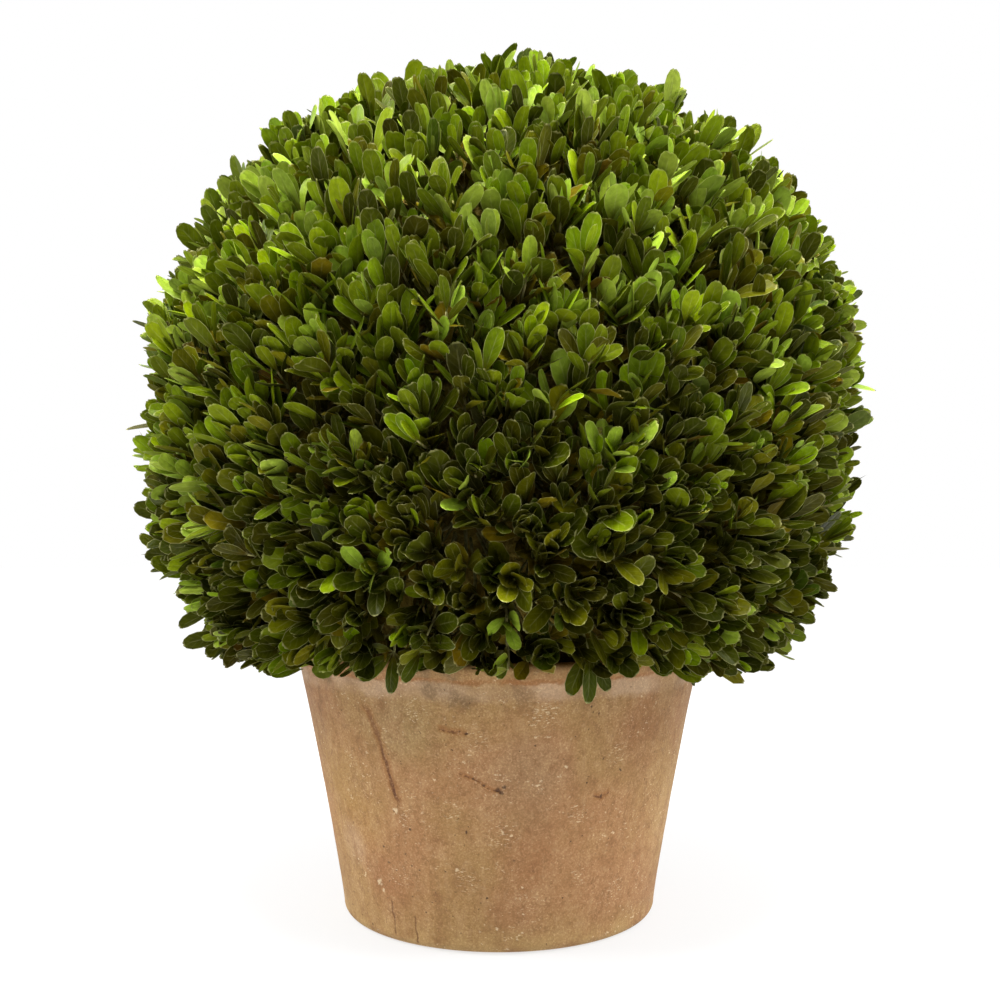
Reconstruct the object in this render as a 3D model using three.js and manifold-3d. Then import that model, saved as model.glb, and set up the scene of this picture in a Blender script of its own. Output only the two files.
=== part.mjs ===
// A clipped box ball in a low terracotta pot: the flared pot with a narrow band under its lip, the soil that
// fills it, the short stem that stands in the soil, and one clipped mass of foliage round the stem's head.
// Millimetres, +Z up. The origin is the middle of the pot's underside, on the ground.
import * as THREE from "three";
import { mergeVertices } from "three/addons/utils/BufferGeometryUtils.js";
import Module from "manifold-3d";

const wasm = await Module();
wasm.setup();

// Driving dimensions
const gap = 0.3; // between pieces that rest on each other

const pot = {
  height: 124,
  footRadius: 72, // where the sides would meet the ground, without the round
  rimRadius: 95.5, // where the sides meet the lip, without the band
  waist: 1.1, // how far the sides hollow in, half way up
  wall: 9,
  floor: 12,
  footRound: 5,
  lipRound: 3,
  innerRound: 6,
  bandHeight: 9.5,
  bandProud: 0.8,
  bandStep: 1.4, // height over which the band runs out
  drainRadius: 7,
  outerShares: [0.25, 0.45, 0.65, 0.82], // of the height, where the outside's hollow is drawn
  innerShares: [0.4, 0.7], // and the inside's
  sides: 48,
};

const soil = {
  edgeHeight: 104,
  crownHeight: 108.5,
  flatRadius: 20, // level ground round the stem
  crownShares: [0.85, 0.65, 0.45], // of the radius, where the crown's rise is drawn
  lump: 0.9,
  lumpLength: 40,
  sides: 36,
};

const stem = {
  topHeight: 172,
  topRadius: 7.5,
  footRadius: 9.5,
  flare: 5.5, // how far the root flare adds to the foot
  flareHeight: 9, // height over which it dies away
  buttresses: 4,
  buttressDepth: 1.6,
  lean: new THREE.Vector2(5, -3), // the head's place against the foot
  sides: 16,
  rings: 10,
};

const ball = {
  centre: new THREE.Vector3(0, 0, 225.5),
  reach: 170.5, // to the furthest leaf tips, all round
  topReach: 174, // and straight up
  coreRadius: 141,
  coreLump: 1.6, // the clipped outline isn't quite true
  coreLumpLength: 115,
  coreSides: 26,
  coreRings: 11,
  skirtHeight: 127.5, // where the core's side ends, over the pot's lip
  mouthRadius: 82, // from there inwards it narrows into the pot's mouth
  mouthHeight: 125.5,
  undersideRadius: 50,
  undersideHeight: 113,
};

const sprig = {
  count: 92,
  seed: 7,
  lowest: -0.66, // the lowest sprig's height over the core's centre, as a share of the core's radius
  rise: 0.4, // how far a sprig turns up from straight out
  stray: 0.18, // how far chance turns it
  sunk: 5,
  length: 12, // out of the core
  footRadius: 1.8,
  sides: 3,
};

// The leaves on a sprig, from its foot up: how far out of the core each pair sits, its angle against the
// twig, and its length as a share of the full one. The last one ends the twig by itself.
const pairs = [
  { out: 5, angle: 1.15, size: 1 },
  { out: 9, angle: 0.8, size: 0.9 },
];
const endLeaf = { out: 10, angle: 0.12, size: 0.7 };

// The leaves that hang over the pot's lip, straight from the core's lower edge
const skirt = {
  count: 34,
  rootHeight: 134,
  sunk: 4,
  down: 0.7, // how far they point down, against level
  downSpread: 0.3,
  size: 0.7,
};

const leaf = {
  length: 36,
  lengthSpread: 0.12,
  trims: [1, 0.88, 0.76], // where a blade has no room it is cut shorter, and then left out
  widthShare: 0.62,
  thickness: 1.3,
  widest: 0.6, // along its length, from the root
  camber: 1.2,
  angleSpread: 0.15,
  roll: 0.45, // how far chance rolls a blade about its own length
  clear: 1, // from the pot
  lowestTip: 110,
};

const looks = {
  terracotta: { color: 0xb98b62, roughness: 0.9, metalness: 0 },
  soil: { color: 0x3a2b20, roughness: 1, metalness: 0 },
  bark: { color: 0x8a7a62, roughness: 0.95, metalness: 0 },
  foliage: { color: 0x4f6b1c, roughness: 0.6, metalness: 0 },
};

// Shared tools
function seededRandom(seed) {
  let state = seed >>> 0;
  return () => {
    state = (state + 0x6d2b79f5) >>> 0;
    let mixed = Math.imul(state ^ (state >>> 15), state | 1);
    mixed ^= mixed + Math.imul(mixed ^ (mixed >>> 7), mixed | 61);
    return ((mixed ^ (mixed >>> 14)) >>> 0) / 2 ** 32;
  };
}

function arc(centreX, centreY, radius, fromDegrees, toDegrees, steps) {
  return Array.from({ length: steps + 1 }, (_, i) => {
    const angle = THREE.MathUtils.degToRad(fromDegrees + ((toDegrees - fromDegrees) * i) / steps);
    return new THREE.Vector2(centreX + radius * Math.cos(angle), centreY + radius * Math.sin(angle));
  });
}

function turned(profile, sides) {
  return new THREE.LatheGeometry(profile, sides).rotateX(Math.PI / 2);
}

function moveEach(geometry, place) {
  const position = geometry.getAttribute("position");
  const point = new THREE.Vector3();
  for (let i = 0; i < position.count; i++) {
    place(point.fromBufferAttribute(position, i));
    position.setXYZ(i, point.x, point.y, point.z);
  }
  return geometry;
}

function solidOf(geometry) {
  const bare = geometry.clone().deleteAttribute("normal").deleteAttribute("uv");
  const merged = mergeVertices(bare, 1e-4);
  return new wasm.Manifold(
    new wasm.Mesh({
      numProp: 3,
      vertProperties: merged.getAttribute("position").array,
      triVerts: new Uint32Array(merged.index.array),
    }),
  );
}

function geometryOf(solid) {
  const mesh = solid.getMesh();
  return new THREE.BufferGeometry()
    .setAttribute("position", new THREE.BufferAttribute(mesh.vertProperties, 3))
    .setIndex(new THREE.BufferAttribute(mesh.triVerts, 1));
}

function named(name, geometry, look) {
  const mesh = new THREE.Mesh(geometry, new THREE.MeshStandardMaterial(look));
  mesh.name = name;
  return mesh;
}

// The pot: a thick flared wall, hollow inside, with a drainage hole in its floor
function potRadius(z) {
  const share = z / pot.height;
  const straight = pot.footRadius + (pot.rimRadius - pot.footRadius) * share;
  return straight - 4 * pot.waist * share * (1 - share);
}

function potInnerRadius(z) {
  return potRadius(z) - pot.wall;
}

function makePot() {
  const bandFoot = pot.height - pot.bandHeight;
  const lipZ = pot.height - pot.lipRound;
  const filletZ = pot.floor + pot.innerRound;
  const outer = (z) => new THREE.Vector2(potRadius(z), z);
  const inner = (z) => new THREE.Vector2(potInnerRadius(z), z);
  const innerZs = pot.innerShares.map((share) => share * pot.height).reverse();
  const profile = [
    new THREE.Vector2(pot.drainRadius, 0),
    ...arc(potRadius(pot.footRound) - pot.footRound, pot.footRound, pot.footRound, -90, 0, 3),
    ...pot.outerShares.map((share) => outer(share * pot.height)),
    outer(bandFoot - pot.bandStep),
    outer(bandFoot).add(new THREE.Vector2(pot.bandProud, 0)),
    ...arc(potRadius(lipZ) + pot.bandProud - pot.lipRound, lipZ, pot.lipRound, 0, 90, 3),
    ...arc(potInnerRadius(lipZ) + pot.lipRound, lipZ, pot.lipRound, 90, 180, 3),
    ...innerZs.map(inner),
    ...arc(potInnerRadius(filletZ) - pot.innerRound, filletZ, pot.innerRound, 0, -90, 2),
    new THREE.Vector2(pot.drainRadius, pot.floor),
    new THREE.Vector2(pot.drainRadius, 0),
  ];
  return named("pot", turned(profile, pot.sides), looks.terracotta);
}

// The soil: it fills the pot to below the lip and rises a little towards the stem
function soilLump(x, y) {
  const fade = THREE.MathUtils.smoothstep(Math.hypot(x, y), soil.flatRadius, 2 * soil.flatRadius);
  const turn = (2 * Math.PI) / soil.lumpLength;
  return soil.lump * fade * (Math.sin(turn * x) * Math.cos(turn * y) + Math.sin(1.3 * turn * (x + y)) / 2);
}

function makeSoil() {
  const bottom = pot.floor + gap;
  const filletZ = pot.floor + pot.innerRound;
  const wallAt = (z) => new THREE.Vector2(potInnerRadius(z) - gap, z);
  const edge = wallAt(soil.edgeHeight);
  const crown = soil.crownShares.map((share) => {
    const rise = Math.cos((share * Math.PI) / 2);
    return new THREE.Vector2(share * edge.x, edge.y + (soil.crownHeight - edge.y) * rise);
  });
  const profile = [
    new THREE.Vector2(0, bottom),
    ...arc(potInnerRadius(filletZ) - pot.innerRound - gap, filletZ + gap, pot.innerRound, -90, 0, 2),
    ...pot.innerShares.map((share) => wallAt(share * pot.height)),
    edge,
    ...crown,
    new THREE.Vector2(soil.flatRadius, soil.crownHeight),
    new THREE.Vector2(0, soil.crownHeight),
  ];
  const geometry = moveEach(turned(profile, soil.sides), (point) => {
    const onTop = point.z > soil.edgeHeight + gap;
    if (onTop) point.z += soilLump(point.x, point.y);
  });
  return named("soil", geometry, looks.soil);
}

// The stem: one short trunk with its root flare, leaning a little. With a margin it is the room it needs.
function stemGeometry(margin) {
  const foot = soil.crownHeight + gap;
  const length = stem.topHeight + margin - foot;
  const unit = new THREE.CylinderGeometry(1, 1, 1, stem.sides, stem.rings);
  return moveEach(unit.rotateX(Math.PI / 2), (point) => {
    const share = point.z + 0.5;
    const height = share * length;
    const angle = Math.atan2(point.y, point.x);
    const fade = Math.exp(-height / stem.flareHeight);
    const taper = stem.footRadius + (stem.topRadius - stem.footRadius) * share;
    const buttress = stem.buttressDepth * Math.cos(stem.buttresses * angle);
    const radius = taper + (stem.flare + buttress) * fade + margin;
    const bend = share * share;
    const reach = Math.hypot(point.x, point.y) * radius;
    point.x = reach * Math.cos(angle) + stem.lean.x * bend;
    point.y = reach * Math.sin(angle) + stem.lean.y * bend;
    point.z = foot + height;
  });
}

function makeStem() {
  return named("stem", stemGeometry(0), looks.bark);
}

// The foliage: a core that the sprigs stand out of, each a twig with pairs of leaves
function coreSolid() {
  const skirt = ball.centre.z - ball.skirtHeight;
  const lowestAngle = -THREE.MathUtils.radToDeg(Math.asin(skirt / ball.coreRadius));
  const profile = [
    new THREE.Vector2(0, ball.undersideHeight),
    new THREE.Vector2(ball.undersideRadius, ball.undersideHeight),
    new THREE.Vector2(ball.mouthRadius, ball.mouthHeight),
    ...arc(0, ball.centre.z, ball.coreRadius, lowestAngle, 90, ball.coreRings),
  ];
  profile[profile.length - 1].x = 0;
  const turn = (2 * Math.PI) / ball.coreLumpLength;
  const geometry = moveEach(turned(profile, ball.coreSides), (point) => {
    if (point.z < ball.skirtHeight + gap) return;
    const out = point.clone().sub(ball.centre);
    const swell = Math.sin(turn * out.x + 2) + Math.sin(turn * out.y) + Math.sin(turn * out.z + 1);
    point.addScaledVector(out.normalize(), ball.coreLump * swell);
  });
  return solidOf(geometry);
}

function leafGeometry(length) {
  const halfWidth = (length * leaf.widthShare) / 2;
  return moveEach(new THREE.OctahedronGeometry(1), (point) => {
    const onSide = Math.abs(point.x) > 0.5;
    const onFace = Math.abs(point.z) > 0.5;
    const along = onSide ? leaf.widest : onFace ? 0.5 : (point.y + 1) / 2;
    const lift = onFace ? leaf.camber : 0;
    point.set(point.x * halfWidth, along * length, (point.z * leaf.thickness) / 2 + lift);
  });
}

// The blade's midline and edges, as points to test for room
function leafOutline(length, place) {
  const halfWidth = (length * leaf.widthShare) / 2;
  return [0.25, 0.5, 0.75, 1]
    .flatMap((share) => {
      const width = halfWidth * (share < leaf.widest ? share / leaf.widest : (1 - share) / (1 - leaf.widest));
      return [-width, 0, width].map((x) => new THREE.Vector3(x, share * length, 0));
    })
    .map((point) => point.applyMatrix4(place));
}

function hasRoom(point) {
  const fromAxis = Math.hypot(point.x, point.y);
  const height = point.z - ball.centre.z;
  const upOrDownReach = height > 0 ? ball.topReach : ball.reach;
  const insideBall = Math.hypot(fromAxis / ball.reach, height / upOrDownReach) < 1;
  const overPot = point.z > pot.height + leaf.clear;
  const beside = fromAxis > potRadius(pot.height) + pot.bandProud + leaf.clear;
  return insideBall && point.z > leaf.lowestTip && (overPot || beside);
}

// Places a blade's root at a point of the twig, turned by an angle round the twig and leaning off it
function leafPlace(root, twigWay, roundTwig, leanOff, roll) {
  const across = new THREE.Vector3(0, 0, 1).cross(twigWay);
  if (across.length() < 0.1) across.set(1, 0, 0);
  across.normalize().applyAxisAngle(twigWay, roundTwig);
  const along = twigWay.clone().multiplyScalar(Math.cos(leanOff)).addScaledVector(across, Math.sin(leanOff));
  const face = twigWay.clone().multiplyScalar(Math.sin(leanOff)).addScaledVector(across, -Math.cos(leanOff));
  face.applyAxisAngle(along, roll);
  const side = along.clone().cross(face);
  return new THREE.Matrix4().makeBasis(side, along, face).setPosition(root);
}

function leafSolid(place, size) {
  const lengths = leaf.trims.map((trim) => trim * size);
  const fitting = lengths.find((length) => leafOutline(length, place).every(hasRoom));
  return fitting ? [solidOf(leafGeometry(fitting).applyMatrix4(place))] : [];
}

// The seeded rule: sprigs spring from the core in a golden spiral, each aimed out and up from the middle
function sprigFoot(i) {
  const height = 1 - ((1 - sprig.lowest) * (i + 0.5)) / sprig.count;
  const level = Math.sqrt(1 - height * height);
  const round = i * Math.PI * (3 - Math.sqrt(5));
  return new THREE.Vector3(level * Math.cos(round), level * Math.sin(round), height);
}

function twigSolid(foot, way) {
  const reach = sprig.sunk + sprig.length;
  const middle = foot.clone().addScaledVector(way, reach / 2 - sprig.sunk);
  const stand = new THREE.Quaternion().setFromUnitVectors(new THREE.Vector3(0, 1, 0), way);
  const twig = new THREE.ConeGeometry(sprig.footRadius, reach, sprig.sides);
  return solidOf(twig.applyQuaternion(stand).translate(middle.x, middle.y, middle.z));
}

function sprigSolids(out, chance) {
  const foot = out.clone().multiplyScalar(ball.coreRadius).add(ball.centre);
  const stray = new THREE.Vector3(chance(), chance(), chance()).multiplyScalar(sprig.stray);
  const way = out.clone().add(stray).normalize();
  way.z += sprig.rise * Math.hypot(out.x, out.y);
  way.normalize();
  const firstTurn = chance() * Math.PI;
  const oneLeaf = (kind, roundTwig, spread) => {
    const root = foot.clone().addScaledVector(way, kind.out);
    const place = leafPlace(root, way, roundTwig, kind.angle + spread, leaf.roll * chance());
    return leafSolid(place, leaf.length * kind.size * (1 + leaf.lengthSpread * chance()));
  };
  const paired = pairs.flatMap((pair, step) =>
    [0, Math.PI].flatMap((half) => {
      const roundTwig = firstTurn + (step * Math.PI) / 2 + half;
      return oneLeaf(pair, roundTwig, leaf.angleSpread * chance());
    }),
  );
  return [twigSolid(foot, way), ...paired, ...oneLeaf(endLeaf, firstTurn, 0)];
}

// Leaves round the core's lower edge, hanging out and down over the pot's lip
function skirtSolids(chance) {
  const drop = ball.centre.z - skirt.rootHeight;
  const rootRadius = Math.sqrt(ball.coreRadius ** 2 - drop ** 2) - skirt.sunk;
  return Array.from({ length: skirt.count }, (_, i) => {
    const round = (2 * Math.PI * (i + 0.3 * chance())) / skirt.count;
    const down = skirt.down + skirt.downSpread * chance();
    const way = new THREE.Vector3(Math.cos(round), Math.sin(round), 0);
    const root = way.clone().multiplyScalar(rootRadius).setZ(skirt.rootHeight);
    const place = leafPlace(root, way, -Math.PI / 2, down, leaf.roll * chance());
    return leafSolid(place, leaf.length * skirt.size * (1 + leaf.lengthSpread * chance()));
  }).flat();
}

function makeFoliage() {
  const random = seededRandom(sprig.seed);
  const chance = () => 2 * random() - 1;
  const room = solidOf(stemGeometry(gap));
  const sprigs = Array.from({ length: sprig.count }, (_, i) => sprigSolids(sprigFoot(i), chance)).flat();
  const grown = [coreSolid(), ...sprigs, ...skirtSolids(chance)];
  const fused = wasm.Manifold.union(grown).subtract(room);
  const bodies = fused.decompose().sort((a, b) => b.volume() - a.volume());
  return named("foliage_ball", geometryOf(bodies[0]), looks.foliage);
}

const plant = new THREE.Group();
plant.add(makePot(), makeSoil(), makeStem(), makeFoliage());

export default plant;
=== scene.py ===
# A clipped box ball in a weathered terracotta pot. The leafy ball grows on twigs and boughs
# from a short stem that stands in the pot's soil.
import math

import bmesh
import bpy
import numpy as np
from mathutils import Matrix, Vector, noise


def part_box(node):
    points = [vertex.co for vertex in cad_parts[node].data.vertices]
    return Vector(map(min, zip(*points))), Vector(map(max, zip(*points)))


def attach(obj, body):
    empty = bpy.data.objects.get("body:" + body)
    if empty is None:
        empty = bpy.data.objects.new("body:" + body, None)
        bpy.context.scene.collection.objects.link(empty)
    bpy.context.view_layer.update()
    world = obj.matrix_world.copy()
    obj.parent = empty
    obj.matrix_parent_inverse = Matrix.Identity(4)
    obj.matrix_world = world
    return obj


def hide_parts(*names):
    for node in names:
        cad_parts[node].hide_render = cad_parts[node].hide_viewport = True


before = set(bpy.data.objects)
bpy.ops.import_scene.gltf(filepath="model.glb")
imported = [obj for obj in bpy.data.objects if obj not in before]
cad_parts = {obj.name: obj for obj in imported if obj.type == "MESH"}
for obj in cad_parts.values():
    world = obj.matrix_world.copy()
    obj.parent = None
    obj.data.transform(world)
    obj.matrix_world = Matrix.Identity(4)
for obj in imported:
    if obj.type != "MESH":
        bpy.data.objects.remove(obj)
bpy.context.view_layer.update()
mm = 0.001

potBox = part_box("pot")
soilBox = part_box("soil")
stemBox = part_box("stem")
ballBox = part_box("foliage_ball")
print("frame loaded")


# Meshes
def pieceFrom(bm, name, material):
    mesh = bpy.data.meshes.new(name)
    bm.to_mesh(mesh)
    bm.free()
    mesh.polygons.foreach_set("use_smooth", [True] * len(mesh.polygons))
    return addPiece(mesh, name, material)


def addPiece(mesh, name, material):
    mesh.materials.append(material)
    piece = bpy.data.objects.new(name, mesh)
    bpy.context.scene.collection.objects.link(piece)
    return piece


def stands(piece, node):
    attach(piece, "root")
    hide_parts(node)
    print(f"{piece.name}: {len(piece.data.polygons)} faces")


def turnProfile(points, sides):
    bm = bmesh.new()
    verts = [bm.verts.new((radius, 0, height)) for radius, height in points]
    edges = [bm.edges.new(pair) for pair in zip(verts, verts[1:] + verts[:1])]
    bmesh.ops.spin(
        bm, geom=verts + edges, cent=(0, 0, 0), axis=(0, 0, 1), dvec=(0, 0, 0),
        angle=2 * math.pi, steps=sides, use_merge=True, use_duplicate=False,
    )
    bmesh.ops.remove_doubles(bm, verts=bm.verts, dist=1e-6)
    bmesh.ops.recalc_face_normals(bm, faces=bm.faces)
    return bm


def arcPoints(centreR, centreZ, radius, fromDegrees, toDegrees, steps):
    angles = np.radians(np.linspace(fromDegrees, toDegrees, steps + 1))
    return [(centreR + radius * math.cos(a), centreZ + radius * math.sin(a)) for a in angles]


def templateOf(bm):  # a small shape as arrays, ready to be copied thousands of times
    bm.verts.index_update()
    coords = np.array([v.co[:] for v in bm.verts])
    faces = [[v.index for v in f.verts] for f in bm.faces]
    upper = [f.material_index == 0 for f in bm.faces]
    sharp = [[v.index for v in e.verts] for e in bm.edges if not e.smooth]
    bm.free()
    return {"coords": coords, "faces": faces, "upper": upper, "sharp": sharp}


def joinCopies(name, template, places, material, cornerUv=None):
    copies, count = places.shape[:2]
    corners = np.concatenate(template["faces"])
    sizes = np.array([len(face) for face in template["faces"]])
    offsets = np.arange(copies)[:, None] * count
    loopVerts = (corners[None] + offsets).ravel()
    starts = np.cumsum(np.tile(sizes, copies)) - np.tile(sizes, copies)
    mesh = bpy.data.meshes.new(name)
    mesh.vertices.add(copies * count)
    mesh.vertices.foreach_set("co", places.ravel())
    mesh.loops.add(len(loopVerts))
    mesh.loops.foreach_set("vertex_index", loopVerts)
    mesh.polygons.add(len(starts))
    mesh.polygons.foreach_set("loop_start", starts)
    mesh.polygons.foreach_set("use_smooth", np.ones(len(starts), bool))
    mesh.update(calc_edges=True)
    if template["sharp"]:
        isSharp = np.zeros((count, count), bool)
        for a, b in template["sharp"]:
            isSharp[a, b] = isSharp[b, a] = True
        ends = np.empty(len(mesh.edges) * 2, np.int32)
        mesh.edges.foreach_get("vertices", ends)
        ends = ends.reshape(-1, 2) % count
        attribute = mesh.attributes.new("sharp_edge", "BOOLEAN", "EDGE")
        attribute.data.foreach_set("value", isSharp[ends[:, 0], ends[:, 1]])
    if cornerUv is not None:
        layer = mesh.uv_layers.new(name="OFBake")
        layer.uv.foreach_set("vector", cornerUv.astype(np.float32).ravel())
    return addPiece(mesh, name, material)


# Shaders: sums on sockets are written as plain expressions
class Shade:
    def __init__(self, tree, socket=None):
        self.tree = tree
        self.socket = socket

    def add(self, kind, settings=None, links=None, output=0):
        node = self.tree.nodes.new(kind)
        for key, value in (settings or {}).items():
            setattr(node, key, value)
        for key, value in (links or {}).items():
            if isinstance(value, Shade):
                self.tree.links.new(value.socket, node.inputs[key])
            else:
                node.inputs[key].default_value = value
        return Shade(self.tree, node.outputs[output])

    def math(self, operation, *values):
        return self.add("ShaderNodeMath", {"operation": operation}, dict(enumerate([self, *values])))

    def __add__(self, other):
        return self.math("ADD", other)

    def __sub__(self, other):
        return self.math("SUBTRACT", other)

    def __mul__(self, other):
        return self.math("MULTIPLY", other)

    def __truediv__(self, other):
        return self.math("DIVIDE", other)

    def __rsub__(self, other):
        return self.add("ShaderNodeMath", {"operation": "SUBTRACT"}, {0: other, 1: self})

    __radd__ = __add__
    __rmul__ = __mul__

    def step(self, low, high):  # 0 below low, 1 above high, soft between
        settings = {"interpolation_type": "SMOOTHSTEP"}
        return self.add("ShaderNodeMapRange", settings, {"Value": self, "From Min": low, "From Max": high})

    def between(self, low, high, soft):
        return self.step(low - soft, low + soft) * (1 - self.step(high - soft, high + soft))

    def mix(self, first, second):  # self is the share of the second colour
        return self.add("ShaderNodeMix", {"data_type": "RGBA"}, {0: self, 6: first, 7: second}, 2)

    def noise(self, scale, detail=2.0, roughness=0.5, distortion=0.0):
        links = {"Vector": self, "Scale": scale, "Detail": detail, "Roughness": roughness}
        return self.add("ShaderNodeTexNoise", {}, {**links, "Distortion": distortion})

    def scaled(self, amount):
        return self.add("ShaderNodeVectorMath", {"operation": "SCALE"}, {0: self, "Scale": amount})

    def stretch(self, x, y, z):
        return self.add("ShaderNodeVectorMath", {"operation": "MULTIPLY"}, {0: self, 1: (x, y, z)})

    def parts(self):
        first = self.add("ShaderNodeSeparateXYZ", {}, {0: self})
        return [Shade(self.tree, first.socket.node.outputs[i]) for i in range(3)]


def colour(red, green, blue):  # screen colour, 0 to 255, as light
    def light(value):
        share = value / 255
        return share / 12.92 if share <= 0.04045 else ((share + 0.055) / 1.055) ** 2.4

    return (light(red), light(green), light(blue), 1.0)


def newMaterial(name, specular=0.5, **fixed):
    material = bpy.data.materials.new(name)
    material.use_nodes = True
    tree = material.node_tree
    shader = tree.nodes["Principled BSDF"]
    shader.inputs["Specular IOR Level"].default_value = specular
    for key, value in fixed.items():
        shader.inputs[key.replace("_", " ")].default_value = value
    return material, Shade(tree), shader


def plug(shader, **links):
    for key, value in links.items():
        shader.id_data.links.new(value.socket, shader.inputs[key.replace("_", " ")])


def bump(height, strength, distance):
    links = {"Height": height, "Strength": strength, "Distance": distance}
    return height.add("ShaderNodeBump", {}, links)


# The pot
pot = {
    "footRadius": 72 * mm,
    "rimRadius": 95.5 * mm,
    "waist": 1.1 * mm,
    "wall": 9 * mm,
    "floor": 12 * mm,
    "footRound": 4.5 * mm,
    "lipRound": 3 * mm,
    "innerRound": 6 * mm,
    "rowHeight": 1.3 * mm,
    "rowsFrom": 2 * mm,  # above the foot's round
    "rowsTo": 5 * mm,  # above the band's foot
    "underRing": 20 * mm,
    "bandHeight": 6.8 * mm,
    "bandProud": 0.8 * mm,
    "bandStep": 1.1 * mm,
    "bandWander": 1.5 * mm,
    "bandReach": 3 * mm,
    "drainRadius": 7 * mm,
    "mmPerDegree": 1.5,
    "skin": 2 * mm,  # the depth that counts as the pot's outside
    "outOfRound": 0.35 * mm,
    "steadyFoot": 8 * mm,  # the pot is truly round at its foot and lip
    "steadyLip": 3 * mm,
    "dents": 0.22 * mm,
    "sides": 224,
    "clay": colour(163, 126, 77),
    "clayRose": colour(164, 119, 77),
    "clayPale": colour(184, 147, 102),
    "clayDeep": colour(134, 94, 56),
    "ochre": colour(158, 120, 56),
    "rust": colour(146, 98, 58),
    "olive": colour(160, 136, 90),
    "grey": colour(146, 118, 84),
    "cream": colour(182, 149, 95),
    # the bloom colour: a pale bloom that is partly painted light on the ledge below the band
    "bloom": colour(200, 170, 138),
    # the smudge colour: painted shade from the leaves above
    "smudge": colour(118, 91, 60),
    "stain": colour(146, 94, 46),
    "speck": colour(230, 206, 166),
    "dust": colour(224, 199, 156),
    "pit": colour(74, 46, 26),
    "crackTone": colour(94, 52, 24),
    "strength": {  # how much of the clay's own tone each mark takes away
        "bloom": 0.62, "smudge": 0.75, "grooveStainAndShade": 0.75, "paleFoot": 0.65, "fleck": 0.72, "stain": 0.6,
        "crack": 0.85, "pit": 0.85, "dust": 0.32,
    },
    "crackWidth": {"long": 0.9, "short": 0.45, "cross": 0.65, "longStain": 2.4, "crossStain": 2.2},  # mm
    # Marks on the outside, by angle in degrees from the front and height in mm
    "longCrack": [(-38.5, 105), (-35.5, 95), (-34.5, 88), (-33.7, 82), (-32.5, 72), (-30.9, 63.5)],
    "shortCracks": [[(-38.2, 19), (-37.5, 11), (-37.9, 4)], [(-28.9, 14), (-28.4, 9), (-28.7, 2)]],
    "crossCracks": [
        [(-16.2, 96.9), (-12.0, 96.3), (-8.2, 95.4)],
        [(-10.8, 78.7), (-5.0, 74.0), (0.5, 70.4)],
        [(28.5, 66.6), (31.5, 65.8), (34.0, 67.8)],
    ],
    "scratched": [  # patches with short pale scratches
        (12, 103.5, 9), (1, 53, 9), (-22, 103, 7), (-6, 92, 6), (24, 60, 7), (-10, 32, 7), (26, 32, 6),
        (42, 22, 8), (-33, 30, 7), (-29, 57, 6), (10, 22, 6), (-48, 80, 6), (36, 84, 7), (-14, 62, 6),
        (110, 70, 9), (150, 40, 9), (-170, 90, 9), (-130, 60, 9), (-95, 30, 8), (75, 95, 8),
    ],
    "pits": [
        (-8.2, 95.5, 0.9), (-0.3, 71.3, 1.6), (0.6, 69.8, 1.3), (1.6, 72.8, 1.1), (-4.2, 73.6, 0.8),
        (-6.8, 75.8, 0.5), (31.5, 66.6, 0.9), (-3.6, 24.3, 0.8), (-27.5, 52.0, 0.9), (-13.0, 89.0, 0.5),
    ],
    "chips": [
        (-42.7, 25.5, 2.2), (-41.0, 22.5, 1.2), (-12.3, 36.8, 1.0), (19.0, 81.0, 0.9), (-32.6, 59.5, 1.6),
        (1.0, 53.5, 1.2), (3.4, 51.8, 0.9), (9.5, 105.0, 1.2), (13.0, 104.0, 0.9), (-0.9, 68.6, 0.9),
    ],
    # darker spots on and below the band, painted shade of the leaves above
    "smudges": [
        (-53.5, 115.4, 5.5), (-17, 113.5, 6), (-12.5, 110.5, 6), (-8.5, 108.5, 4.5), (-12, 121, 6),
        (-19, 119, 5), (34, 120, 5),
    ],
    "washes": [  # broad soft patches: angle, height, radius, colour and strength
        (-60, 62, 44, "ochre", 0.6), (-27, 98, 24, "olive", 0.6), (44, 92, 27, "rust", 0.75),
        (8, 74, 30, "grey", 0.5), (-38, 26, 24, "rust", 0.45), (-20, 54, 13, "rust", 0.4),
        (7, 40, 20, "rust", 0.4), (22, 62, 20, "clayRose", 0.6), (72, 44, 34, "cream", 0.7),
        (-55, 40, 15, "bloom", 0.45), (35, 30, 20, "clayRose", 0.5), (130, 80, 40, "ochre", 0.6),
        (-120, 50, 38, "rust", 0.45), (165, 40, 34, "olive", 0.5), (-160, 95, 28, "grey", 0.5),
    ],
}
potHeight = potBox[1].z


def potRadius(height):
    share = height / potHeight
    straight = pot["footRadius"] + (pot["rimRadius"] - pot["footRadius"]) * share
    return straight - 4 * pot["waist"] * share * (1 - share)


def potProfile():
    wall = pot["wall"]
    foot, lip, fillet = pot["footRound"], pot["lipRound"], pot["innerRound"]
    bandFoot = potHeight - pot["bandHeight"]
    lipZ = potHeight - lip
    filletZ = pot["floor"] + fillet
    points = [(pot["drainRadius"], 0.0)]
    points += [(r, 0.0) for r in np.linspace(pot["underRing"], potRadius(foot) - foot, 12)[:-1]]
    points += arcPoints(potRadius(foot) - foot, foot, foot, -90, 0, 8)
    for z in np.arange(foot + pot["rowsFrom"], bandFoot + pot["rowsTo"], pot["rowHeight"]):
        share = min(max((z - bandFoot) / pot["bandStep"] + 0.5, 0), 1)
        points.append((potRadius(z) + pot["bandProud"] * share * share * (3 - 2 * share), z))
    points += arcPoints(potRadius(lipZ) + pot["bandProud"] - lip, lipZ, lip, 0, 90, 6)
    points += arcPoints(potRadius(lipZ) - wall + lip, lipZ, lip, 90, 180, 6)
    points += [(potRadius(z) - wall, z) for z in np.linspace(lipZ, filletZ, 18)[1:-1]]
    points += arcPoints(potRadius(filletZ) - wall - fillet, filletZ, fillet, 0, -90, 5)
    points.append((pot["drainRadius"], pot["floor"]))
    return points


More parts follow.
